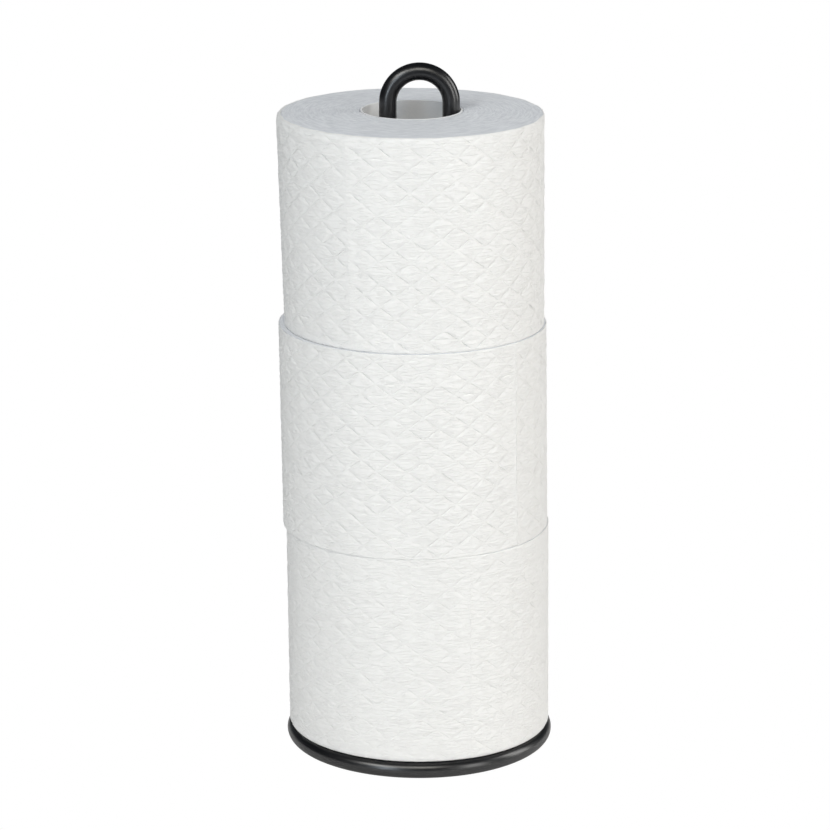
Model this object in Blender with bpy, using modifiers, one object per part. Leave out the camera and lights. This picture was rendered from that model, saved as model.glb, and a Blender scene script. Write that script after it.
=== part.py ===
"""A free-standing holder for spare toilet rolls.

A rod bent into a tall, narrow hoop stands with both legs on a cross bar, which is welded across
the inside of a ring of the same rod. Three rolls are threaded over the hoop and stand on the
ring, one on top of the other. Each roll is a cardboard core, the paper wound on it, and the last
turn of the paper, which ends in a free edge. Metres, +Z up, origin on the floor at the middle of
the ring.
"""

import math

import bmesh
import bpy
from mathutils import Matrix, Vector

# Steel rod
ROD_DIAMETER = 0.008
CORNER_WELD = 0.0045  # how far a bead runs along the ring and along the cross bar
LEG_WELD = 0.0018  # how far the bead round a leg's foot stands out from the leg

# Rolls that the holder is made for
ROLL_DIAMETER = 0.124  # the fattest roll
ROLL_HEIGHT = 0.097
CORE_BORE = 0.045
CORE_WALL = 0.0008
SHEET_WALL = 0.0005  # the last turn of the paper
EDGE_ROUNDING = 0.001  # on the outer rim of the wound paper
SHEET_SLIT = 0.001  # width of the gap in front of the free edge

# How the pieces fit
TOUCH = 0.0003  # gap between pieces that touch
RING_MARGIN = 0.001  # the ring is this much wider than the fattest roll
HOOP_PLAY = 0.0082  # the core's bore is this much wider than the hoop
LOOP_RISE = 0.0228  # top of the hoop above the top roll

# Each roll, from the ring up: its name, how far it has slid sideways as a share of the free play,
# how much thinner it is than the fattest roll, and where its free edge is, in degrees from the
# front (-Y), positive towards +X
ROLLS = (
    ("bottom", -0.08, 0.0010, 23.0),
    ("middle", -0.74, 0.0, 49.0),
    ("top", -0.95, 0.0016, -28.0),
)

# Segments of the round shapes
RING_SEGMENTS = 64
ROD_SIDES = 14  # leaves a flat facet underneath and on top
HOOP_RESOLUTION = 4
ARCH_SEGMENTS = 18
ROLL_SEGMENTS = 64
BEAD_SEGMENTS = 16

# Derived sizes
ROD_RADIUS = ROD_DIAMETER / 2
RING_DIAMETER = ROLL_DIAMETER + RING_MARGIN
RING_RADIUS = RING_DIAMETER / 2 - ROD_RADIUS
HOOP_WIDTH = CORE_BORE - HOOP_PLAY
LEG_X = HOOP_WIDTH / 2 - ROD_RADIUS
STACK_STEP = ROLL_HEIGHT + TOUCH
HOOP_HEIGHT = ROD_DIAMETER + len(ROLLS) * STACK_STEP + LOOP_RISE
FLAT_SIDED_RADIUS = ROD_RADIUS / math.cos(math.pi / ROD_SIDES)  # puts the flats on the rod's skin
RING_INSIDE = RING_RADIUS - FLAT_SIDED_RADIUS
BAR_END_X = math.sqrt(RING_INSIDE**2 - FLAT_SIDED_RADIUS**2) - TOUCH

SIDES = (("left", -1), ("right", 1))
FACES = (("front", -1), ("back", 1))

POWDER_COAT = ("black_powder_coat", (0.018, 0.018, 0.020), 0.38, 0.0)
TISSUE = ("white_tissue", (0.86, 0.86, 0.85), 0.9, 0.0)
WOUND_TISSUE = ("wound_tissue_edge", (0.72, 0.73, 0.74), 0.95, 0.0)
CARDBOARD = ("grey_cardboard", (0.52, 0.51, 0.49), 0.85, 0.0)


def clear_scene():
    for old in list(bpy.data.objects):
        bpy.data.objects.remove(old, do_unlink=True)


def new_collection(name):
    collection = bpy.data.collections.new(name)
    bpy.context.scene.collection.children.link(collection)
    return collection


def finish_of(look):
    name, colour, roughness, metallic = look
    found = bpy.data.materials.get(name)
    if found:
        return found
    material = bpy.data.materials.new(name)
    material.use_nodes = True
    shader = material.node_tree.nodes["Principled BSDF"]
    shader.inputs["Base Color"].default_value = (*colour, 1.0)
    shader.inputs["Roughness"].default_value = roughness
    shader.inputs["Metallic"].default_value = metallic
    return material


def add_piece(name, data, look, collection, parent=None, turn=0.0):
    piece = bpy.data.objects.new(name, data)
    data.materials.append(finish_of(look))
    collection.objects.link(piece)
    piece.parent = parent
    piece.rotation_euler.z = turn
    return piece


def arc_points(centre, radius, start, end, segments):
    """Points of an arc in the XZ plane, both ends included. Angles in radians from +X to +Z."""
    angles = [start + (end - start) * i / segments for i in range(segments + 1)]
    return [centre + radius * Vector((math.cos(a), 0.0, math.sin(a))) for a in angles]


def hoop_path():
    """Middle line of the hoop: up one leg, round the arch, down the other."""
    arch_centre = Vector((0.0, 0.0, HOOP_HEIGHT - ROD_RADIUS - LEG_X))
    arch = arc_points(arch_centre, LEG_X, 0.0, math.pi, ARCH_SEGMENTS)
    leg_foot = ROD_DIAMETER + TOUCH
    return [Vector((LEG_X, 0.0, leg_foot))] + arch + [Vector((-LEG_X, 0.0, leg_foot))]


def make_hoop(collection):
    curve = bpy.data.curves.new("hoop", "CURVE")
    curve.dimensions = "3D"
    curve.bevel_depth = ROD_RADIUS
    curve.bevel_resolution = HOOP_RESOLUTION
    curve.use_fill_caps = True
    path = hoop_path()
    spline = curve.splines.new("POLY")
    spline.points.add(len(path) - 1)
    for point, place in zip(spline.points, path):
        point.co = (*place, 1.0)
    return add_piece("hoop", curve, POWDER_COAT, collection)


def add_ring_shape(name, tube_radius, collection):
    bpy.ops.mesh.primitive_torus_add(
        major_radius=RING_RADIUS,
        minor_radius=tube_radius,
        major_segments=RING_SEGMENTS,
        minor_segments=ROD_SIDES,
        location=(0.0, 0.0, ROD_RADIUS),
    )
    ring = bpy.context.object
    ring.name = name
    for other in list(ring.users_collection):
        other.objects.unlink(ring)
    collection.objects.link(ring)
    ring.data.shade_smooth()
    return ring


def rod_mesh(name, radius, start, end):
    """A straight rod from start to end, with flat ends and a flat facet on its top side."""
    along = end - start
    lie_down = along.to_track_quat("Z", "Y").to_matrix().to_4x4()
    half_facet = Matrix.Rotation(math.pi / ROD_SIDES, 4, "Z")
    mesh = bpy.data.meshes.new(name)
    shape = bmesh.new()
    bmesh.ops.create_cone(
        shape,
        cap_ends=True,
        segments=ROD_SIDES,
        radius1=radius,
        radius2=radius,
        depth=along.length,
        matrix=Matrix.Translation((start + end) / 2) @ lie_down @ half_facet,
    )
    shape.to_mesh(mesh)
    shape.free()
    mesh.shade_smooth()
    mesh.set_sharp_from_angle(angle=math.radians(50))
    return mesh


def make_ring(collection):
    ring = add_ring_shape("base_ring", FLAT_SIDED_RADIUS, collection)
    ring.data.materials.append(finish_of(POWDER_COAT))
    return ring


def make_cross_bar(collection):
    end = Vector((BAR_END_X, 0.0, 0.0))
    middle = Vector((0.0, 0.0, ROD_RADIUS))
    mesh = rod_mesh("cross_bar", FLAT_SIDED_RADIUS, middle - end, middle + end)
    return add_piece("cross_bar", mesh, POWDER_COAT, collection)


def make_weld_cutters(collection):
    """The ring, the cross bar and the two legs, each fatter by the gap, to cut the beads back to."""
    fat = FLAT_SIDED_RADIUS + TOUCH
    ring = add_ring_shape("ring_cutter", fat, collection)
    reach = Vector((RING_RADIUS, 0.0, 0.0))
    middle = Vector((0.0, 0.0, ROD_RADIUS))
    rods = {"bar_cutter": (middle - reach, middle + reach)}
    for side_name, side in SIDES:
        foot = Vector((side * LEG_X, 0.0, ROD_RADIUS))
        rods[f"leg_cutter_{side_name}"] = (foot, foot + Vector((0.0, 0.0, 4 * ROD_DIAMETER)))
    cutters = {"ring_cutter": ring}
    for name, (start, end) in rods.items():
        cutters[name] = bpy.data.objects.new(name, rod_mesh(name, fat, start, end))
        collection.objects.link(cutters[name])
    for cutter in cutters.values():
        cutter.hide_render = True
        cutter.display_type = "WIRE"
    return cutters


def make_bead(name, centre, half_size, cutters, collection):
    """A rounded lump of weld, cut back to the rods that it joins."""
    mesh = bpy.data.meshes.new(name)
    shape = bmesh.new()
    bmesh.ops.create_uvsphere(
        shape, u_segments=BEAD_SEGMENTS, v_segments=BEAD_SEGMENTS // 2, radius=1.0
    )
    bmesh.ops.scale(shape, vec=half_size, verts=shape.verts)
    bmesh.ops.translate(shape, vec=centre, verts=shape.verts)
    shape.to_mesh(mesh)
    shape.free()
    mesh.shade_smooth()
    bead = add_piece(name, mesh, POWDER_COAT, collection)
    for cutter in cutters:
        cut = bead.modifiers.new(cutter.name, "BOOLEAN")
        cut.operation = "DIFFERENCE"
        cut.solver = "EXACT"
        cut.object = cutter
    return bead


def make_corner_welds(cutters, collection):
    """A bead in each of the four corners between the cross bar and the ring."""
    half_size = Vector((CORNER_WELD, CORNER_WELD, 0.8 * ROD_RADIUS))
    for side_name, side in SIDES:
        for face_name, face in FACES:
            centre = Vector((side * BAR_END_X, face * ROD_RADIUS, ROD_RADIUS))
            name = f"corner_weld_{side_name}_{face_name}"
            rods = (cutters["ring_cutter"], cutters["bar_cutter"])
            make_bead(name, centre, half_size, rods, collection)


def make_leg_welds(cutters, collection):
    """A bead all round each leg, where it stands on the cross bar."""
    out = ROD_RADIUS + LEG_WELD
    half_size = Vector((out, out, ROD_RADIUS))
    for side_name, side in SIDES:
        centre = Vector((side * LEG_X, 0.0, ROD_DIAMETER + TOUCH))
        rods = (cutters["bar_cutter"], cutters[f"leg_cutter_{side_name}"])
        make_bead(f"leg_weld_{side_name}", centre, half_size, rods, collection)


def turned_mesh(name, outline, closed):
    mesh = bpy.data.meshes.new(name)
    shape = bmesh.new()
    points = [shape.verts.new((radius, 0.0, height)) for radius, height in outline]
    pairs = list(zip(points, points[1:]))
    if closed:
        pairs.append((points[-1], points[0]))
    for pair in pairs:
        shape.edges.new(pair)
    shape.to_mesh(mesh)
    shape.free()
    return mesh


def add_screw(piece, angle):
    screw = piece.modifiers.new("turn", "SCREW")
    screw.axis = "Z"
    screw.angle = angle
    screw.steps = ROLL_SEGMENTS
    screw.render_steps = ROLL_SEGMENTS
    screw.use_merge_vertices = True
    screw.merge_threshold = 0.00001
    screw.use_smooth_shade = False
    return screw


def make_core(name, parent, collection):
    inner = CORE_BORE / 2
    outer = inner + CORE_WALL
    outline = [(outer, ROLL_HEIGHT), (outer, 0.0), (inner, 0.0), (inner, ROLL_HEIGHT)]
    core = add_piece(name, turned_mesh(name, outline, True), CARDBOARD, collection, parent)
    add_screw(core, 2 * math.pi)
    return core


def make_wound_paper(name, radius, parent, collection):
    inner = CORE_BORE / 2 + CORE_WALL + TOUCH
    rim = EDGE_ROUNDING
    outline = [
        (inner, ROLL_HEIGHT),
        (radius - rim, ROLL_HEIGHT),
        (radius, ROLL_HEIGHT - rim),
        (radius, rim),
        (radius - rim, 0.0),
        (inner, 0.0),
    ]
    paper = add_piece(name, turned_mesh(name, outline, True), WOUND_TISSUE, collection, parent)
    add_screw(paper, 2 * math.pi)
    return paper


def make_outer_sheet(name, radius, free_edge, parent, collection):
    """The last turn: an open cylinder with a slit in front of its free edge, then thickened."""
    outline = [(radius, ROLL_HEIGHT), (radius, 0.0)]
    turn = math.radians(free_edge - 90.0)
    mesh = turned_mesh(name, outline, False)
    sheet = add_piece(name, mesh, TISSUE, collection, parent, turn)
    add_screw(sheet, 2 * math.pi - SHEET_SLIT / radius)
    wall = sheet.modifiers.new("wall", "SOLIDIFY")
    wall.thickness = SHEET_WALL
    wall.offset = -1.0
    return sheet


def make_roll(level, name, slide, thinner, free_edge, collection):
    axis = bpy.data.objects.new(f"roll_axis_{name}", None)
    collection.objects.link(axis)
    sideways = slide * (HOOP_PLAY / 2 - TOUCH)
    axis.location = (sideways, 0.0, ROD_DIAMETER + TOUCH + level * STACK_STEP)
    outer = (ROLL_DIAMETER - thinner) / 2
    make_core(f"core_{name}", axis, collection)
    wound = outer - SHEET_WALL - TOUCH
    make_wound_paper(f"wound_paper_{name}", wound, axis, collection)
    make_outer_sheet(f"outer_sheet_{name}", outer, free_edge, axis, collection)


def main():
    clear_scene()
    holder = new_collection("toilet_roll_holder")
    make_ring(holder)
    make_cross_bar(holder)
    make_hoop(holder)
    cutters = make_weld_cutters(new_collection("cutters"))
    make_corner_welds(cutters, holder)
    make_leg_welds(cutters, holder)
    for level, roll in enumerate(ROLLS):
        make_roll(level, *roll, holder)


main()
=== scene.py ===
import math

import bmesh
import bpy
import numpy as np
from mathutils import Matrix, Vector, noise


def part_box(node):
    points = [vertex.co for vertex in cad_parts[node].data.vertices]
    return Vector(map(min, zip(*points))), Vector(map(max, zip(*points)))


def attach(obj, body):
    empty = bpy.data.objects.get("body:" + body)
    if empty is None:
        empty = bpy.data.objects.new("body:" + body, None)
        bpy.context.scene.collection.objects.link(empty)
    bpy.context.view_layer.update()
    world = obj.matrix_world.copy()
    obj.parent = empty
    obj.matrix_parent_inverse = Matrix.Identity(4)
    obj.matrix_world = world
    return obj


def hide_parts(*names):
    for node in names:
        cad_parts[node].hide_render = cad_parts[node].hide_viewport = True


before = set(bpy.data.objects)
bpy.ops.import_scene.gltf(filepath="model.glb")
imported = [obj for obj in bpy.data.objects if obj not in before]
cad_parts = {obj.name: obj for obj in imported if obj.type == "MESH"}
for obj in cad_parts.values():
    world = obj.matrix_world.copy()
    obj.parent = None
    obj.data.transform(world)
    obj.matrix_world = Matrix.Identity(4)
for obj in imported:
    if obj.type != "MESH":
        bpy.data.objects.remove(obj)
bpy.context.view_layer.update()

MM = 0.001

# Steel rod
ROD_SIDES = 32
RING_STEPS = 160
ARCH_STEPS = 48

# Each roll as it sits in the stack. All lengths in mm.
# lean: sideways shift of the outer turns at the roll's bottom and top edge
# thinner: how much smaller the radius is at the bottom edge than at the top
# seat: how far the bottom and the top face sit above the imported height
# dome: how much higher the paper stands round the core than at the rim, on the top face
# rim: radius of the rounding at the bottom and the top edge
# free_edge: where the last turn ends, in degrees from the front (-Y), positive towards +X
# lift: how far the loosest parts of the free edge stand off
# ply_step: how far the lower plies run on past the top one
# relief: how deep the embossing still is, as a share of a fresh sheet's
# seed: which draw of the random patterns the roll has
ROLLS = {
    "bottom": dict(lean=(0.2, -0.65), thinner=0.0, seat=(0.0, 0.8), dome=0.0, rim=(1.3, 0.2),
                   free_edge=23.0, lift=0.2, ply_step=1.0, relief=0.68, seed=3.0),
    "middle": dict(lean=(0.86, -0.48), thinner=0.0, seat=(0.8, -0.6), dome=0.0, rim=(0.2, 0.2),
                   free_edge=49.0, lift=0.0, ply_step=0.0, relief=1.0, seed=17.0),
    "top": dict(lean=(1.23, -0.67), thinner=1.05, seat=(-0.6, 0.0), dome=1.2, rim=(0.25, 1.5),
                free_edge=-28.0, lift=0.2, ply_step=1.4, relief=1.05, seed=41.0),
}
ROLL_GAP = 0.04  # between one roll's face and the next
RIM_INSET = 0.22  # from the outside of the last turn to the outside of the wound paper, at a rim
RIM_WEAR = 0.7  # how much the rounding of a worn rim comes and goes round the roll
FACE_OVERLAP = 0.15  # a face that is not level with its packed height runs on by this much
RIM_SWING = 0.8  # how much rounder the top roll's rim is on the left than at the front

# Embossing of the tissue, mm
DIAMOND_WIDTH = 14.5  # round the roll
DIAMOND_HEIGHT = 10.3
DIAMOND_STEPS = 13  # mesh steps across one diamond, so that the grooves run along the mesh
GROOVE_DEPTH = 0.42
GROOVE_HALF_WIDTH = 0.58
PILLOW_HEIGHT = 0.3
CREASE_DEPTH = 0.44
CREASE_HALF_WIDTH = 0.5
PLY_PITCH = 0.2  # from one turn of the paper to the next
SHEET_THICKNESS = 0.18
PLY_STEP = 0.1  # how far the top ply stands proud of the lower plies at the free edge
SHEET_OVERLAP = 3.0  # the sheet's start, tucked under its free edge
LOOSE_REACH = 1.2  # how far back from the free edge a loose part stands off
FLAT_BY_EDGE = 3.5  # how far from the free edge the embossing is pressed flat
EDGE_RELIEF = 0.03  # what is left of the embossing at the free edge itself
PRESSED_HALF_WIDTH = 1.5  # how far from an embossed line the attribute that sharpens it reaches
CORE_WALL = 0.8
CORE_PLAY = 0.3  # between a core and the paper on it
STRIP_PITCH = 62.0  # from one turn of the core's strip of board to the next, along the tube
STRIP_SLOPE = 0.92  # turns a distance along the tube into one across the slanting seam
TURN_ROWS = 96  # rings of mesh on a roll's face


def linear(hex_colour):
    """An sRGB hex colour as the linear RGBA that a socket takes."""
    channels = [int(hex_colour[i:i + 2], 16) / 255 for i in (1, 3, 5)]
    return [c / 12.92 if c <= 0.04045 else ((c + 0.055) / 1.055) ** 2.4 for c in channels] + [1.0]


def add(tree, kind, inputs=None, **settings):
    """Adds a node with its settings, and links or sets its inputs."""
    node = tree.nodes.new(kind)
    for name, value in settings.items():
        setattr(node, name, value)
    for socket, value in (inputs or {}).items():
        if isinstance(value, bpy.types.NodeSocket):
            tree.links.new(value, node.inputs[socket])
        else:
            node.inputs[socket].default_value = value
    return node


def new_material(name):
    """An empty node material and its output node."""
    material = bpy.data.materials.new(name)
    material.use_nodes = True
    tree = material.node_tree
    tree.nodes.clear()
    return material, tree, tree.nodes.new("ShaderNodeOutputMaterial")


def ramp(tree, factor, stops):
    """Sets the stops of a new colour ramp, given as (position, hex colour)."""
    node = add(tree, "ShaderNodeValToRGB", {"Fac": factor})
    elements = node.color_ramp.elements
    while len(elements) < len(stops):
        elements.new(0.5)
    for element, (position, colour) in zip(elements, stops):
        element.position = position
        element.color = linear(colour)
    return node.outputs["Color"]


# ---------------------------------------------------------------- materials

def powder_coated_steel():
    """Black epoxy powder baked on steel rod: a satin film with a faint orange peel, so that soft
    lights draw out into long blurred streaks."""
    material, tree, output = new_material("powder_coated_steel")
    place = add(tree, "ShaderNodeTexCoord").outputs["Object"]
    # Orange peel of about 1.2 mm
    peel = add(tree, "ShaderNodeTexNoise", {"Vector": place, "Scale": 800.0, "Detail": 2.0})
    # Cloudy film thickness over about 12 mm
    cloud = add(tree, "ShaderNodeTexNoise", {"Vector": place, "Scale": 80.0, "Detail": 3.0})
    base = ramp(tree, cloud.outputs["Fac"], [(0.3, "#050508"), (0.7, "#0A0A0E")])
    rough = add(tree, "ShaderNodeMapRange", {"Value": cloud.outputs["Fac"], "From Min": 0.3,
                                             "From Max": 0.7, "To Min": 0.28, "To Max": 0.34})
    bump = add(tree, "ShaderNodeBump", {"Height": peel.outputs["Fac"], "Strength": 0.35,
                                        "Distance": 0.02 * MM})
    shader = add(tree, "ShaderNodeBsdfPrincipled", {
        "Base Color": base, "Roughness": rough.outputs["Result"], "IOR": 1.6,
        "Specular IOR Level": 0.72, "Normal": bump.outputs["Normal"]})
    tree.links.new(shader.outputs["BSDF"], output.inputs["Surface"])
    return material


def embossed_tissue():
    """Bleached three-ply tissue, embossed between steel rolls: matt and soft, with quilted diamonds
    that fade where the plies have relaxed. The piece's own UV map counts the diamonds."""
    material, tree, output = new_material("embossed_tissue")
    lattice = add(tree, "ShaderNodeUVMap", uv_map="lattice").outputs["UV"]
    place = add(tree, "ShaderNodeTexCoord").outputs["Object"]
    depth = add(tree, "ShaderNodeAttribute", attribute_name="emboss")
    parts = add(tree, "ShaderNodeSeparateXYZ", {"Vector": lattice})
    lines = []
    for axis in ("X", "Y"):
        # Distance from the nearest embossed line, as a share of the line spacing
        shifted = add(tree, "ShaderNodeMath", {0: parts.outputs[axis], 1: 0.5}, operation="ADD")
        share = add(tree, "ShaderNodeMath", {0: shifted.outputs[0]}, operation="FRACT")
        centred = add(tree, "ShaderNodeMath", {0: share.outputs[0], 1: 0.5}, operation="SUBTRACT")
        away = add(tree, "ShaderNodeMath", {0: centred.outputs[0]}, operation="ABSOLUTE")
        line = add(tree, "ShaderNodeMapRange", {"Value": away.outputs[0], "From Min": 0.0,
                                                "From Max": 0.07, "To Min": 0.0, "To Max": 1.0},
                   interpolation_type="SMOOTHSTEP")
        lines.append(line.outputs["Result"])
    both = add(tree, "ShaderNodeMath", {0: lines[0], 1: lines[1]}, operation="MINIMUM")
    # The embossed lines are pressed less where the relief is weak
    pressed = add(tree, "ShaderNodeMath", {0: both.outputs[0], 1: 1.0}, operation="SUBTRACT")
    scaled = add(tree, "ShaderNodeMath", {0: pressed.outputs[0], 1: depth.outputs["Fac"]},
                 operation="MULTIPLY")
    # Creases across the diamonds: about 9 mm long and 0.5 mm wide, broken into dashes
    along = add(tree, "ShaderNodeMath", {0: parts.outputs["X"], 1: parts.outputs["Y"]},
                operation="ADD")
    up = add(tree, "ShaderNodeMath", {0: parts.outputs["X"], 1: parts.outputs["Y"]},
             operation="SUBTRACT")
    unrolled = add(tree, "ShaderNodeCombineXYZ", {"X": along.outputs[0], "Y": up.outputs[0]})
    drawn_out = add(tree, "ShaderNodeVectorMath", {0: unrolled.outputs[0], 1: (0.9, 3.4, 1.0)},
                    operation="MULTIPLY")
    folds = add(tree, "ShaderNodeTexNoise", {"Vector": drawn_out.outputs[0], "Scale": 1.0,
                                             "Detail": 2.0, "Roughness": 0.5})
    level = add(tree, "ShaderNodeMath", {0: folds.outputs["Fac"], 1: 0.5}, operation="SUBTRACT")
    off_fold = add(tree, "ShaderNodeMath", {0: level.outputs[0]}, operation="ABSOLUTE")
    crease = add(tree, "ShaderNodeMapRange", {"Value": off_fold.outputs[0], "From Min": 0.0,
                                              "From Max": 0.05, "To Min": 0.0, "To Max": 1.0},
                 interpolation_type="SMOOTHSTEP")
    # Crepe: fibres and creping folds of about 0.25 mm, drawn at 0.7 mm so that they show
    crepe = add(tree, "ShaderNodeTexNoise", {"Vector": place, "Scale": 1400.0, "Detail": 3.0,
                                             "Roughness": 0.6})
    fibre = add(tree, "ShaderNodeTexNoise", {"Vector": place, "Scale": 420.0, "Detail": 2.0})
    fine = add(tree, "ShaderNodeMath", {0: crepe.outputs["Fac"], 1: 0.35}, operation="MULTIPLY")
    rough_paper = add(tree, "ShaderNodeMath", {0: fine.outputs[0], 1: fibre.outputs["Fac"]},
                      operation="ADD")
    groove_bump = add(tree, "ShaderNodeBump", {"Height": scaled.outputs[0], "Strength": 1.0,
                                               "Distance": 0.17 * MM})
    crease_bump = add(tree, "ShaderNodeBump", {"Height": crease.outputs["Result"],
                                               "Strength": 1.0, "Distance": 0.11 * MM,
                                               "Normal": groove_bump.outputs["Normal"]})
    paper_bump = add(tree, "ShaderNodeBump", {"Height": rough_paper.outputs[0], "Strength": 0.4,
                                              "Distance": 0.05 * MM,
                                              "Normal": crease_bump.outputs["Normal"]})
    base = ramp(tree, fibre.outputs["Fac"], [(0.3, "#F7F6F4"), (0.7, "#FAF9F7")])
    shader = add(tree, "ShaderNodeBsdfPrincipled", {
        "Base Color": base, "Roughness": 0.92, "IOR": 1.45, "Specular IOR Level": 0.25,
        "Sheen Weight": 0.12, "Sheen Roughness": 0.5, "Normal": paper_bump.outputs["Normal"]})
    tree.links.new(shader.outputs["BSDF"], output.inputs["Surface"])
    return material


def wound_tissue(name, axis_x):
    """The cut ends of about a hundred turns of tissue, sawn across: matt, coloured a shade greyer
    than the face of the sheet as painted shade for the self-shadowing in the cut fibres, with fine
    broken rings where the turns press together."""
    material, tree, output = new_material(name)
    place = add(tree, "ShaderNodeTexCoord").outputs["Object"]
    centred = add(tree, "ShaderNodeVectorMath", {0: place, 1: (axis_x, 0.0, 0.0)},
                  operation="SUBTRACT")
    flat = add(tree, "ShaderNodeVectorMath", {0: centred.outputs[0], 1: (1.0, 1.0, 0.0)},
               operation="MULTIPLY")
    away = add(tree, "ShaderNodeVectorMath", {0: flat.outputs[0]}, operation="LENGTH")
    heading = add(tree, "ShaderNodeVectorMath", {0: flat.outputs[0]}, operation="NORMALIZE")
    # Noise laid round the core: a turn is about 0.4 mm thick, drawn at 0.9 mm so that it shows,
    # and a ring breaks after about 6 mm
    outward = add(tree, "ShaderNodeCombineXYZ", {"Z": away.outputs["Value"]})
    drawn_out = add(tree, "ShaderNodeVectorMath", {0: outward.outputs[0], 1: (0.0, 0.0, 1100.0)},
                    operation="MULTIPLY")
    round_core = add(tree, "ShaderNodeVectorMath", {0: heading.outputs[0], 1: (7.0, 7.0, 0.0),
                                                    2: drawn_out.outputs[0]},
                     operation="MULTIPLY_ADD")
    turns = add(tree, "ShaderNodeTexNoise", {"Vector": round_core.outputs[0], "Scale": 1.0,
                                             "Detail": 3.0, "Roughness": 0.65})
    fibre = add(tree, "ShaderNodeTexNoise", {"Vector": place, "Scale": 1100.0, "Detail": 3.0})
    mixed = add(tree, "ShaderNodeMath", {0: turns.outputs["Fac"], 1: fibre.outputs["Fac"]},
                operation="ADD")
    # Painted shade: the greyer ramp stands for the self-shadowing of the cut fibres and the dimmer
    # light on the roll's faces
    base = ramp(tree, turns.outputs["Fac"], [(0.3, "#DADCE1"), (0.7, "#F4F6F9")])
    bump = add(tree, "ShaderNodeBump", {"Height": mixed.outputs[0], "Strength": 0.8,
                                        "Distance": 0.16 * MM})
    shader = add(tree, "ShaderNodeBsdfPrincipled", {
        "Base Color": base, "Roughness": 0.95, "IOR": 1.45, "Specular IOR Level": 0.2,
        "Normal": bump.outputs["Normal"]})
    tree.links.new(shader.outputs["BSDF"], output.inputs["Surface"])
    return material


def core_board():
    """Greyboard wound in a spiral tube: matt, light grey, with flecks of fibre and the slightly
    darker line where one strip of board meets the next."""
    material, tree, output = new_material("spiral_wound_greyboard")
    place = add(tree, "ShaderNodeTexCoord").outputs["Object"]
    fleck = add(tree, "ShaderNodeTexNoise", {"Vector": place, "Scale": 700.0, "Detail": 4.0,
                                             "Roughness": 0.65})
    cloud = add(tree, "ShaderNodeTexNoise", {"Vector": place, "Scale": 50.0, "Detail": 2.0})
    seam = add(tree, "ShaderNodeAttribute", attribute_name="seam")
    shade = add(tree, "ShaderNodeMath", {0: fleck.outputs["Fac"], 1: cloud.outputs["Fac"]},
                operation="ADD")
    board = add(tree, "ShaderNodeMath", {0: shade.outputs[0], 1: seam.outputs["Fac"]},
                operation="SUBTRACT")
    base = ramp(tree, board.outputs[0], [(0.2, "#E0E1E2"), (0.7, "#F2F3F4"), (1.0, "#F8F8F8")])
    bump = add(tree, "ShaderNodeBump", {"Height": fleck.outputs["Fac"], "Strength": 0.4,
                                        "Distance": 0.06 * MM})
    shader = add(tree, "ShaderNodeBsdfPrincipled", {
        "Base Color": base, "Roughness": 0.85, "IOR": 1.45, "Specular IOR Level": 0.3,
        "Normal": bump.outputs["Normal"]})
    tree.links.new(shader.outputs["BSDF"], output.inputs["Surface"])
    return material


# ---------------------------------------------------------------- helpers for pieces

def write_piece(mesh, name, body, nodes, material, sharp_above=50.0):
    """Makes a mesh a piece of the object: it rides on its body and stands for its CAD nodes."""
    piece = bpy.data.objects.new(name, mesh)
    bpy.context.scene.collection.objects.link(piece)
    mesh.materials.append(material)
    mesh.shade_smooth()
    mesh.set_sharp_from_angle(angle=math.radians(sharp_above))
    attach(piece, body)
    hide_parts(*nodes)
    return piece


def to_mesh(bm, name):
    """Writes a closed bmesh to a new mesh with its faces pointing outwards."""
    bmesh.ops.recalc_face_normals(bm, faces=bm.faces)
    mesh = bpy.data.meshes.new(name)
    bm.to_mesh(mesh)
    bm.free()
    return mesh


def smoothstep(low, high, value):
    share = min(max((value - low) / (high - low), 0.0), 1.0)
    return share * share * (3 - 2 * share)


# ---------------------------------------------------------------- holder

def make_ring(coat):
    """The rod bent to a circle and butt-welded: a circle spun round the holder's middle."""
    low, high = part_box("base_ring")
    rod = (high.z - low.z) / 2
    outer = (high.x - low.x) / 2
    bm = bmesh.new()
    bmesh.ops.create_circle(bm, segments=ROD_SIDES, radius=rod,
                            matrix=Matrix.Translation((outer - rod, 0, low.z + rod))
                            @ Matrix.Rotation(math.pi / 2, 4, "X"))
    bmesh.ops.spin(bm, geom=bm.verts[:] + bm.edges[:], cent=(0, 0, 0), axis=(0, 0, 1),
                   angle=2 * math.pi, steps=RING_STEPS, use_merge=True, use_duplicate=False)
    bmesh.ops.remove_doubles(bm, verts=bm.verts, dist=0.01 * MM)
    return write_piece(to_mesh(bm, "ring_rod"), "ring_rod", "stand", ["base_ring"],
                       coat)


def make_cross_bar(coat):
    """The straight rod under the hoop."""
    low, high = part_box("cross_bar")
    rod = (high.z - low.z) / 2
    bm = bmesh.new()
    bmesh.ops.create_cone(bm, segments=ROD_SIDES, radius1=rod, radius2=rod, depth=high.x - low.x,
                          cap_ends=True,
                          matrix=Matrix.Translation((low + high) / 2)
                          @ Matrix.Rotation(math.pi / 2, 4, "Y"))
    rims = [e for e in bm.edges if abs(abs(e.verts[0].co.x) - high.x) < 0.01 * MM
            and abs(abs(e.verts[1].co.x) - high.x) < 0.01 * MM]
    bmesh.ops.bevel(bm, geom=rims, affect="EDGES", offset=0.5 * MM, segments=3, profile=0.5,
                    material=-1)
    return write_piece(to_mesh(bm, "bar_rod"), "bar_rod", "stand", ["cross_bar"],
                       coat)


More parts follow.
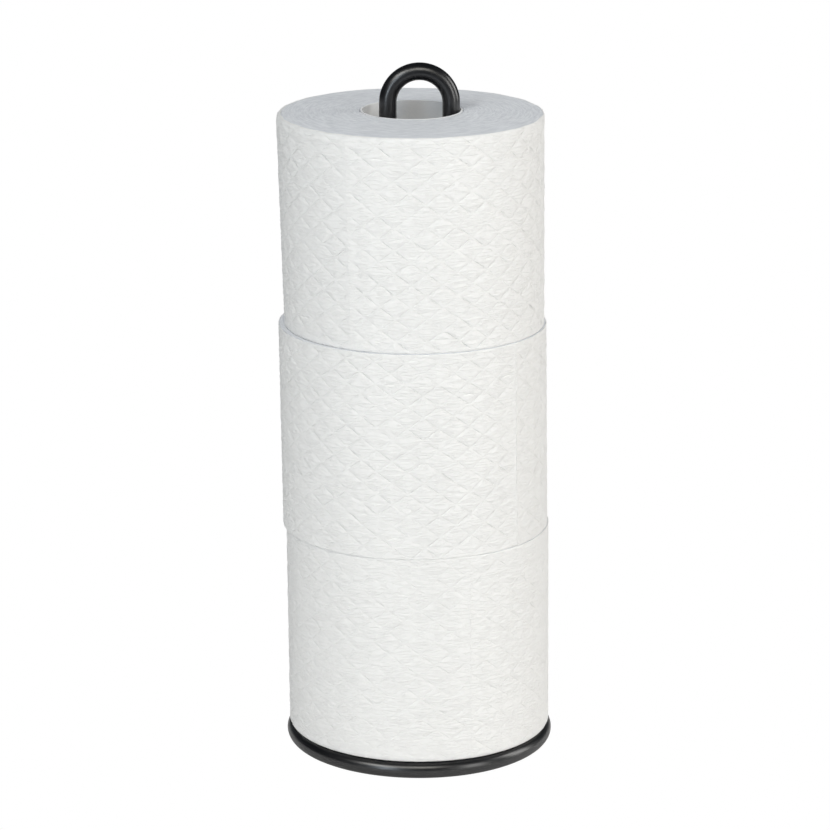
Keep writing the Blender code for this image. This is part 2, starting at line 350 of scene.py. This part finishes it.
def make_hoop(coat):
    """The rod bent to a narrow hoop: a circle extruded up one leg, spun over and run down."""
    low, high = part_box("hoop")
    rod = (high.y - low.y) / 2
    leg_x = (high.x - low.x) / 2 - rod
    arch_z = high.z - rod - leg_x
    bm = bmesh.new()
    made = bmesh.ops.create_circle(bm, segments=ROD_SIDES, radius=rod, cap_ends=True,
                                   matrix=Matrix.Translation((-leg_x, 0, low.z)))
    leg_edges = list({e for v in made["verts"] for e in v.link_edges})
    grown = bmesh.ops.extrude_edge_only(bm, edges=leg_edges)
    ring = [g for g in grown["geom"] if isinstance(g, bmesh.types.BMVert)]
    bmesh.ops.translate(bm, verts=ring, vec=(0, 0, arch_z - low.z))
    edges = [g for g in grown["geom"] if isinstance(g, bmesh.types.BMEdge)
             and g.verts[0] in ring and g.verts[1] in ring]
    spun = bmesh.ops.spin(bm, geom=ring + edges, cent=(0, 0, arch_z), axis=(0, 1, 0),
                          angle=math.pi, steps=ARCH_STEPS, use_merge=False, use_duplicate=False)
    last = [g for g in spun["geom_last"] if isinstance(g, bmesh.types.BMEdge)]
    grown = bmesh.ops.extrude_edge_only(bm, edges=last)
    ring = [g for g in grown["geom"] if isinstance(g, bmesh.types.BMVert)]
    bmesh.ops.translate(bm, verts=ring, vec=(0, 0, low.z - arch_z))
    bmesh.ops.holes_fill(bm, edges=[e for e in bm.edges if e.is_boundary], sides=0)
    return write_piece(to_mesh(bm, "hoop_rod"), "hoop_rod", "stand", ["hoop"], coat)


def make_corner_beads(coat):
    """A short run of weld metal in each corner between the bar and the ring."""
    for side in ("left", "right"):
        for end in ("front", "back"):
            node = f"corner_weld_{side}_{end}"
            low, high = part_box(node)
            bm = bmesh.new()
            bmesh.ops.create_icosphere(bm, subdivisions=4, radius=1.0)
            size = (high - low) / 2
            for v in bm.verts:
                ripple = 1 + 0.05 * math.sin(9 * (v.co.x - v.co.y))
                lump = 1 + 0.12 * noise.noise(v.co * 1.7 + low * 300)
                v.co = Vector(v.co[i] * size[i] * ripple * lump for i in range(3))
            bmesh.ops.translate(bm, verts=bm.verts, vec=(low + high) / 2)
            name = f"corner_bead_{side}_{end}"
            write_piece(to_mesh(bm, name), name, "stand", [node], coat)


def make_leg_beads(coat):
    """The ring of weld metal round the foot of each leg."""
    for side in ("left", "right"):
        node = f"leg_weld_{side}"
        low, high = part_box(node)
        middle = (low + high) / 2
        outer = (high.x - low.x) / 2
        tube = 1.6 * MM
        bm = bmesh.new()
        bmesh.ops.create_circle(bm, segments=16, radius=tube,
                                matrix=Matrix.Translation((outer - tube, 0, 0))
                                @ Matrix.Rotation(math.pi / 2, 4, "X"))
        bmesh.ops.spin(bm, geom=bm.verts[:] + bm.edges[:], cent=(0, 0, 0), axis=(0, 0, 1),
                       angle=2 * math.pi, steps=72, use_merge=True, use_duplicate=False)
        bmesh.ops.remove_doubles(bm, verts=bm.verts, dist=0.01 * MM)
        for v in bm.verts:
            turn = math.atan2(v.co.y, v.co.x)
            ripple = 1 + 0.03 * math.sin(22 * turn) + 0.05 * noise.noise(v.co * 400 + low * 90)
            v.co.x *= ripple
            v.co.y *= ripple
            # The bead sags down over the round bar at the front and the back
            v.co.z -= 1.5 * MM * abs(math.sin(turn)) ** 1.5
        bmesh.ops.translate(bm, verts=bm.verts, vec=(middle.x, middle.y, low.z + 2.2 * MM))
        name = f"leg_bead_{side}"
        write_piece(to_mesh(bm, name), name, "stand", [node], coat)


# ---------------------------------------------------------------- rolls

def lean_of(roll, share):
    """Sideways shift in mm of the outer turns: share is 0 at the roll's bottom, 1 at its top."""
    return roll["lean"][0] + (roll["lean"][1] - roll["lean"][0]) * share


def rim_at(roll, share, theta):
    """Radius in mm of the rounding on the nearer edge of the roll."""
    if share < 0.5:
        return roll["rim"][0]
    if not roll["dome"]:
        return roll["rim"][1]
    worn = noise.noise(Vector((7 * math.sin(theta), 7 * math.cos(theta), 2.0)))
    return roll["rim"][1] - RIM_SWING * math.sin(theta) + RIM_WEAR * worn


def rounded_off(border, rim):
    """How far a quarter round of radius rim cuts in at this distance from the edge."""
    if border >= rim:
        return 0.0
    return rim - math.sqrt(max(rim * rim - (rim - border) ** 2, 0.0))


def faces_of(roll, low, high):
    """Heights in mm of the roll's bottom and top face in the stack."""
    bottom = low.z / MM + roll["seat"][0]
    top = high.z / MM + roll["seat"][1]
    return bottom, top


def paper_between(roll, low, high):
    """Heights in mm between which the roll's paper stands, with half the gap to its neighbours."""
    bottom, top = faces_of(roll, low, high)
    bottom += ROLL_GAP / 2 - (FACE_OVERLAP if roll["seat"][0] else 0.0)
    top += (FACE_OVERLAP if roll["seat"][1] else 0.0) - ROLL_GAP / 2
    return bottom, top


def pressed_in(away, half_width):
    return math.exp(-((away / half_width) ** 2))


def stroke(line_count, cross_count, spacing, seed):
    """Distance in mm from the nearest embossed line of one set, and how hard the line is pressed
    there: each stretch between two crossings is pressed on its own, least at its ends."""
    line = round(line_count)
    away = abs(line_count - line) * spacing
    stretch = noise.cell(Vector((line + 0.5, math.floor(cross_count) + 0.5, seed)))
    strength = 0.85 + 0.45 * stretch
    from_crossing = abs(cross_count - round(cross_count))
    strength *= 0.2 + 0.8 * smoothstep(0.03, 0.25, from_crossing)
    return away, strength


def relief_at(roll, along, up, lattice_height):
    """Depth of the embossing in mm below the pillows' tops, how sharply it is pressed there, and
    the two counts of the diamond lattice."""
    seed = roll["seed"]
    slow = Vector((along / 23.0, up / 17.0, seed))
    count_a = along / DIAMOND_WIDTH + up / lattice_height + 0.05 * noise.noise(slow)
    slow += Vector((9.1, 4.7, 2.3))
    count_b = along / DIAMOND_WIDTH - up / lattice_height + 0.05 * noise.noise(slow)
    spacing = 1 / math.hypot(1 / DIAMOND_WIDTH, 1 / lattice_height)
    away_a, strength_a = stroke(count_a, count_b, spacing, seed)
    away_b, strength_b = stroke(count_b, count_a, spacing, seed + 5.0)
    groove = max(pressed_in(away_a, GROOVE_HALF_WIDTH) * strength_a,
                 pressed_in(away_b, GROOVE_HALF_WIDTH) * strength_b)
    pressed = max(pressed_in(away_a, PRESSED_HALF_WIDTH) * strength_a,
                  pressed_in(away_b, PRESSED_HALF_WIDTH) * strength_b)
    pillow = math.sqrt(abs(math.sin(math.pi * count_a) * math.sin(math.pi * count_b)))
    # Creases across the diamonds, where the paper was pushed together
    cell_a, cell_b = math.floor(count_a), math.floor(count_b)
    cell_up = lattice_height * ((count_a - count_b) - (cell_a - cell_b)) / 2
    cell_along = DIAMOND_WIDTH * ((count_a + count_b) - (cell_a + cell_b + 1)) / 2
    crease = 0.0
    for layer, level in enumerate((0.0, 1.9, -1.9)):
        cell = Vector((cell_a + 0.5, cell_b + 0.5, seed + 7.5 * layer))
        strength = 0.5 + 0.5 * noise.cell(cell) - (0.12 if layer == 0 else 0.32)
        if strength < 0:
            continue
        drop = 0.5 * noise.cell(cell + Vector((31.0, 0, 0)))
        reach = 0.5 + 0.5 * noise.cell(cell + Vector((0, 57.0, 0)))
        tilt = 0.5 * noise.cell(cell + Vector((0, 0, 83.0)))
        off = cell_up - level - 0.9 * drop - 0.12 * tilt * cell_along
        half = (3.2 + 2.4 * reach) * (1.0 if layer == 0 else 0.6)
        window = 1 - smoothstep(0.55, 1.0, abs(cell_along - 1.5 * tilt) / half)
        crease = max(crease, window * pressed_in(off, CREASE_HALF_WIDTH) * (0.5 + strength))
    wrinkle = 0.05 * noise.noise(Vector((along / 4.0, up / 1.3, seed)))
    depth = GROOVE_DEPTH * groove + PILLOW_HEIGHT * (1 - pillow) + CREASE_DEPTH * crease + wrinkle
    return depth, pressed, count_a, count_b


def make_outer_sheet(name, roll, tissue):
    """The last turn of the paper: a flat strip is embossed and wound round the roll while its
    radius falls by one ply, so that the free edge stands proud of the turn below it."""
    node = f"outer_sheet_{name}"
    low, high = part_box(node)
    axis_x = (low.x + high.x) / 2
    radius = (high.y - low.y) / 2 / MM
    packed_height = (high.z - low.z) / MM
    bottom, top = paper_between(roll, low, high)
    length = 2 * math.pi * radius + SHEET_OVERLAP
    steps = round(length / DIAMOND_WIDTH * DIAMOND_STEPS)
    rows = round(packed_height / DIAMOND_HEIGHT * DIAMOND_STEPS)
    lattice_height = packed_height / rows * DIAMOND_STEPS
    close_rows = 3 * packed_height / rows
    free_edge = math.radians(roll["free_edge"])
    bm = bmesh.new()
    bmesh.ops.create_grid(bm, x_segments=steps, y_segments=rows, size=0.5)
    lattice_layer = bm.loops.layers.uv.new("lattice")
    emboss_layer = bm.verts.layers.float.new("emboss")
    counts = {}
    for v in bm.verts:
        along = (v.co.x + 0.5) * length
        up = (v.co.y + 0.5) * packed_height
        share = up / packed_height
        theta = free_edge + along / radius
        # The last three rows crowd towards the edge, to round it off
        border = min(up, packed_height - up)
        if border < close_rows:
            border *= border / close_rows
            up = border if share < 0.5 else packed_height - border
        depth, pressed, count_a, count_b = relief_at(roll, along, up, lattice_height)
        counts[v] = (count_a, count_b)
        relief = roll["relief"] * (0.3 + 0.7 * smoothstep(0.0, 2.0, border))
        from_edge = min(along, abs(length - SHEET_OVERLAP - along))
        relief *= EDGE_RELIEF + (1 - EDGE_RELIEF) * smoothstep(0.0, FLAT_BY_EDGE, from_edge)
        v[emboss_layer] = pressed * relief
        r = radius - PLY_PITCH * along / length - depth * relief
        r -= rounded_off(border, rim_at(roll, share, theta))
        loose = max(noise.noise(Vector((roll["seed"], up / 9.0, 0.0))), 0.0)
        r += roll["lift"] * loose * math.exp(-along / LOOSE_REACH)
        if along < roll["ply_step"]:
            r -= PLY_STEP
        r -= roll["thinner"] * (1 - share)
        x = lean_of(roll, share) + r * math.sin(theta)
        z = bottom + (top - bottom) * up / packed_height
        v.co = (axis_x + x * MM, -r * math.cos(theta) * MM, z * MM)
    for face in bm.faces:
        for loop in face.loops:
            loop[lattice_layer].uv = counts[loop.vert]
    mesh = bpy.data.meshes.new(f"last_turn_{name}")
    bm.to_mesh(mesh)
    bm.free()
    piece = write_piece(mesh, f"last_turn_{name}", f"roll_{name}", [node],
                        tissue, 60.0)
    thicken(piece)
    return piece, (packed_height * MM, length * MM)


def thicken(piece):
    """Gives the sheet its thickness, inwards."""
    solid = piece.modifiers.new("sheet_thickness", "SOLIDIFY")
    solid.thickness = SHEET_THICKNESS * MM
    solid.offset = -1.0
    graph = bpy.context.evaluated_depsgraph_get()
    thick = bpy.data.meshes.new_from_object(piece.evaluated_get(graph), depsgraph=graph)
    piece.modifiers.clear()
    thick.name = piece.data.name
    thick.set_sharp_from_angle(angle=math.radians(60.0))
    piece.data = thick


def make_wound_paper(name, roll):
    """The paper under the last turn: the outline of half its section spun round the core, with each
    turn's cut edge a little above or below the next."""
    node = f"wound_paper_{name}"
    sheet_low, sheet_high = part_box(f"outer_sheet_{name}")
    axis_x = (sheet_low.x + sheet_high.x) / 2
    core_low, core_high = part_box(f"core_{name}")
    bore = (core_high.x - core_low.x) / 2 / MM + CORE_PLAY
    rim = (sheet_high.y - sheet_low.y) / 2 / MM
    bottom, top = paper_between(roll, sheet_low, sheet_high)
    bm = bmesh.new()
    corners = [bm.verts.new(c) for c in ((bore, 0, 0), (rim, 0, 0), (rim, 0, 1), (bore, 0, 1))]
    edges = [bm.edges.new((corners[i], corners[(i + 1) % 4])) for i in range(4)]
    bmesh.ops.subdivide_edges(bm, edges=[edges[0], edges[2]], cuts=TURN_ROWS - 1)
    bmesh.ops.subdivide_edges(bm, edges=[edges[1], edges[3]], cuts=15)
    bmesh.ops.spin(bm, geom=bm.verts[:] + bm.edges[:], cent=(0, 0, 0), axis=(0, 0, 1),
                   angle=2 * math.pi, steps=180, use_merge=True, use_duplicate=False)
    bmesh.ops.remove_doubles(bm, verts=bm.verts, dist=0.001)
    free_edge = math.radians(roll["free_edge"])
    pitch = (rim - bore) / TURN_ROWS
    sunk = PILLOW_HEIGHT + 1.3 * GROOVE_DEPTH
    for v in bm.verts:
        r = math.hypot(v.co.x, v.co.y)
        theta = math.atan2(v.co.x, -v.co.y)
        share = v.co.z
        spread = (r - bore) / (rim - bore)
        on_face = share < 0.001 or share > 0.999
        # The side lies just inside the last turn, and follows its spiral and its rounded edges
        outward = smoothstep(0.8, 1.0, spread)
        fall = ((theta - free_edge) / (2 * math.pi)) % 1.0
        border = min(share, 1 - share) * (top - bottom)
        inset = PLY_PITCH * fall + RIM_INSET + sunk * smoothstep(0.0, 2.0, border)
        rounding = rim_at(roll, share, theta)
        inset += rounded_off(border, rounding) + roll["thinner"] * (1 - share)
        grown = r - outward * inset
        lean = lean_of(roll, share) * smoothstep(0.15, 1.0, spread)
        z = bottom + (top - bottom) * share
        if on_face and 0.001 < spread:
            side = 1 if share > 0.5 else -1
            layer = round((r - bore) / pitch)
            here = Vector((math.sin(theta) * 2.5, math.cos(theta) * 2.5, layer * 0.77))
            step = 0.09 * noise.noise(here + Vector((roll["seed"], 0, 0)))
            step += 0.05 * (noise.cell(Vector((layer + 0.5, 0.5, roll["seed"]))) - 0.5)
            slow = 0.15 * noise.noise(Vector((math.sin(theta) * r / 14, math.cos(theta) * r / 14,
                                              roll["seed"])))
            if side > 0:
                z += roll["dome"] * (1 - spread)
            room = 0.05 if roll["dome"] and side > 0 else 0.12
            inner = 1 - smoothstep(0.9, 0.96, spread)
            z -= side * (0.01 + inner * max(room - step - slow, 0.0))
        v.co = (axis_x + (lean + grown * math.sin(theta)) * MM, -grown * math.cos(theta) * MM,
                z * MM)
    material = wound_tissue(f"wound_tissue_{name}", axis_x)
    return write_piece(to_mesh(bm, f"turns_{name}"), f"turns_{name}", f"roll_{name}", [node],
                       material, 80.0)


def make_core(name, roll, board):
    """The tube that the paper is wound on: its wall's outline spun round, with the spiral line
    where one strip of board meets the next pressed in."""
    node = f"core_{name}"
    low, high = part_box(node)
    axis_x = (low.x + high.x) / 2
    outer = (high.x - low.x) / 2 / MM
    inner = outer - CORE_WALL
    height = (high.z - low.z) / MM
    bottom, top = faces_of(roll, low, high)
    bm = bmesh.new()
    corners = [bm.verts.new(c) for c in ((inner, 0, 0), (outer, 0, 0), (outer, 0, height),
                                         (inner, 0, height))]
    edges = [bm.edges.new((corners[i], corners[(i + 1) % 4])) for i in range(4)]
    bmesh.ops.subdivide_edges(bm, edges=[edges[1], edges[3]], cuts=80)
    bmesh.ops.spin(bm, geom=bm.verts[:] + bm.edges[:], cent=(0, 0, 0), axis=(0, 0, 1),
                   angle=2 * math.pi, steps=120, use_merge=True, use_duplicate=False)
    bmesh.ops.remove_doubles(bm, verts=bm.verts, dist=0.01)
    seams = []
    for v in bm.verts:
        r = math.hypot(v.co.x, v.co.y)
        theta = math.atan2(v.co.x, -v.co.y)
        share = v.co.z / height
        place = v.co.z / STRIP_PITCH - theta / (2 * math.pi) + roll["seed"] * 0.13
        place %= 1.0
        away = min(place, 1 - place) * STRIP_PITCH * STRIP_SLOPE
        groove = pressed_in(away, 0.8)
        seams.append(groove)
        r += 0.12 * groove if r < inner + 0.1 else -0.12 * groove
        up = bottom + (top - bottom) * share + roll["dome"] * smoothstep(0.9, 1.0, share)
        v.co = (axis_x + r * math.sin(theta) * MM, -r * math.cos(theta) * MM, up * MM)
    mesh = to_mesh(bm, f"tube_{name}")
    stored = mesh.attributes.new("seam", "FLOAT", "POINT")
    stored.data.foreach_set("value", np.array(seams, dtype=np.float32))
    return write_piece(mesh, f"tube_{name}", f"tube_{name}", [node], board)


# ---------------------------------------------------------------- studio

def make_studio():
    """White floor and air, a dim soft sky and seven soft boxes: two tall ones that streak the rod,
    three for the front and the side, one behind and one overhead."""
    floor_material, tree, output = new_material("white_table")
    path = add(tree, "ShaderNodeLightPath")
    matt = add(tree, "ShaderNodeBsdfDiffuse", {"Color": (0.9, 0.888, 0.88, 1.0)})
    glow = add(tree, "ShaderNodeEmission", {"Color": (1.0, 1.0, 1.0, 1.0), "Strength": 1.0})
    seen = add(tree, "ShaderNodeMixShader", {"Fac": path.outputs["Is Camera Ray"],
                                             1: matt.outputs["BSDF"], 2: glow.outputs["Emission"]})
    tree.links.new(seen.outputs["Shader"], output.inputs["Surface"])
    bm = bmesh.new()
    bmesh.ops.create_circle(bm, segments=96, radius=1.0, cap_ends=True)
    mesh = bpy.data.meshes.new("table_top")
    bm.to_mesh(mesh)
    bm.free()
    floor = bpy.data.objects.new("table_top", mesh)
    floor.location.z = -0.0002
    mesh.materials.append(floor_material)
    bpy.context.scene.collection.objects.link(floor)

    world = bpy.data.worlds.new("white_studio")
    world.use_nodes = True
    bpy.context.scene.world = world
    tree = world.node_tree
    tree.nodes.clear()
    path = add(tree, "ShaderNodeLightPath")
    backdrop = add(tree, "ShaderNodeBackground", {"Color": (1, 1, 1, 1), "Strength": 1.0})
    fill = add(tree, "ShaderNodeBackground", {"Color": (0.85, 0.93, 1.0, 1), "Strength": 0.06})
    seen = add(tree, "ShaderNodeMixShader", {"Fac": path.outputs["Is Camera Ray"],
                                             1: fill.outputs[0], 2: backdrop.outputs[0]})
    output = tree.nodes.new("ShaderNodeOutputWorld")
    tree.links.new(seen.outputs[0], output.inputs["Surface"])

    # name, azimuth from the front in degrees, distance, height, width, height of the box, watts,
    # height it is aimed at, colour
    for name, azimuth, distance, height, width, tall, power, aim, colour in (
            ("strip_left", -28.0, 2.4, 0.55, 0.38, 2.2, 17.0, 0.4, "#EAF5FF"),
            ("strip_right", 47.0, 2.4, 0.55, 0.7, 2.2, 18.5, 0.4, "#FFFEFB"),
            ("box_left", -40.0, 3.2, 2.66, 1.75, 1.3, 45.0, 0.17, "#FFFEFA"),
            ("box_front", 2.0, 2.8, 2.75, 1.8, 1.2, 30.0, 0.17, "#FFFCF4"),
            ("box_side", 95.0, 2.2, 0.9, 0.8, 1.6, 18.0, 0.17, "#FFFEFB"),
            ("box_back", 178.0, 2.6, 1.3, 1.6, 1.4, 15.0, 0.17, "#FFFFFF"),
            ("box_over", 0.0, 0.01, 3.4, 1.9, 1.9, 14.0, 0.17, "#EAF4FF")):
        data = bpy.data.lights.new(name, "AREA")
        data.shape = "RECTANGLE"
        data.size = width
        data.size_y = tall
        data.energy = power
        data.color = linear(colour)[:3]
        lamp = bpy.data.objects.new(name, data)
        angle = math.radians(azimuth)
        lamp.location = (distance * math.sin(angle), -distance * math.cos(angle), height)
        aimed = Vector((0, 0, aim)) - lamp.location
        lamp.rotation_euler = aimed.to_track_quat("-Z", "Y").to_euler()
        lamp.visible_camera = False
        lamp.visible_glossy = name not in ("box_over", "box_back")
        bpy.context.scene.collection.objects.link(lamp)

    bpy.context.scene.view_settings.view_transform = "Standard"


def make_camera():
    data = bpy.data.cameras.new("camera")
    data.sensor_width = 36.0
    data.lens = 157.63
    data.clip_start = 0.01
    camera = bpy.data.objects.new("camera", data)
    camera.location = (-2.04 * MM, -1.6249, 0.6162)
    camera.rotation_euler = (math.pi / 2 - 0.2754, 0.0, 0.0)
    bpy.context.scene.collection.objects.link(camera)
    bpy.context.scene.camera = camera


make_camera()
make_studio()
coat = powder_coated_steel()
make_ring(coat)
make_cross_bar(coat)
make_hoop(coat)
make_corner_beads(coat)
make_leg_beads(coat)
board = core_board()
tissue = embossed_tissue()
for roll_name, roll in ROLLS.items():
    make_core(roll_name, roll, board)
    turns = make_wound_paper(roll_name, roll)
    sheet, flat = make_outer_sheet(roll_name, roll, tissue)
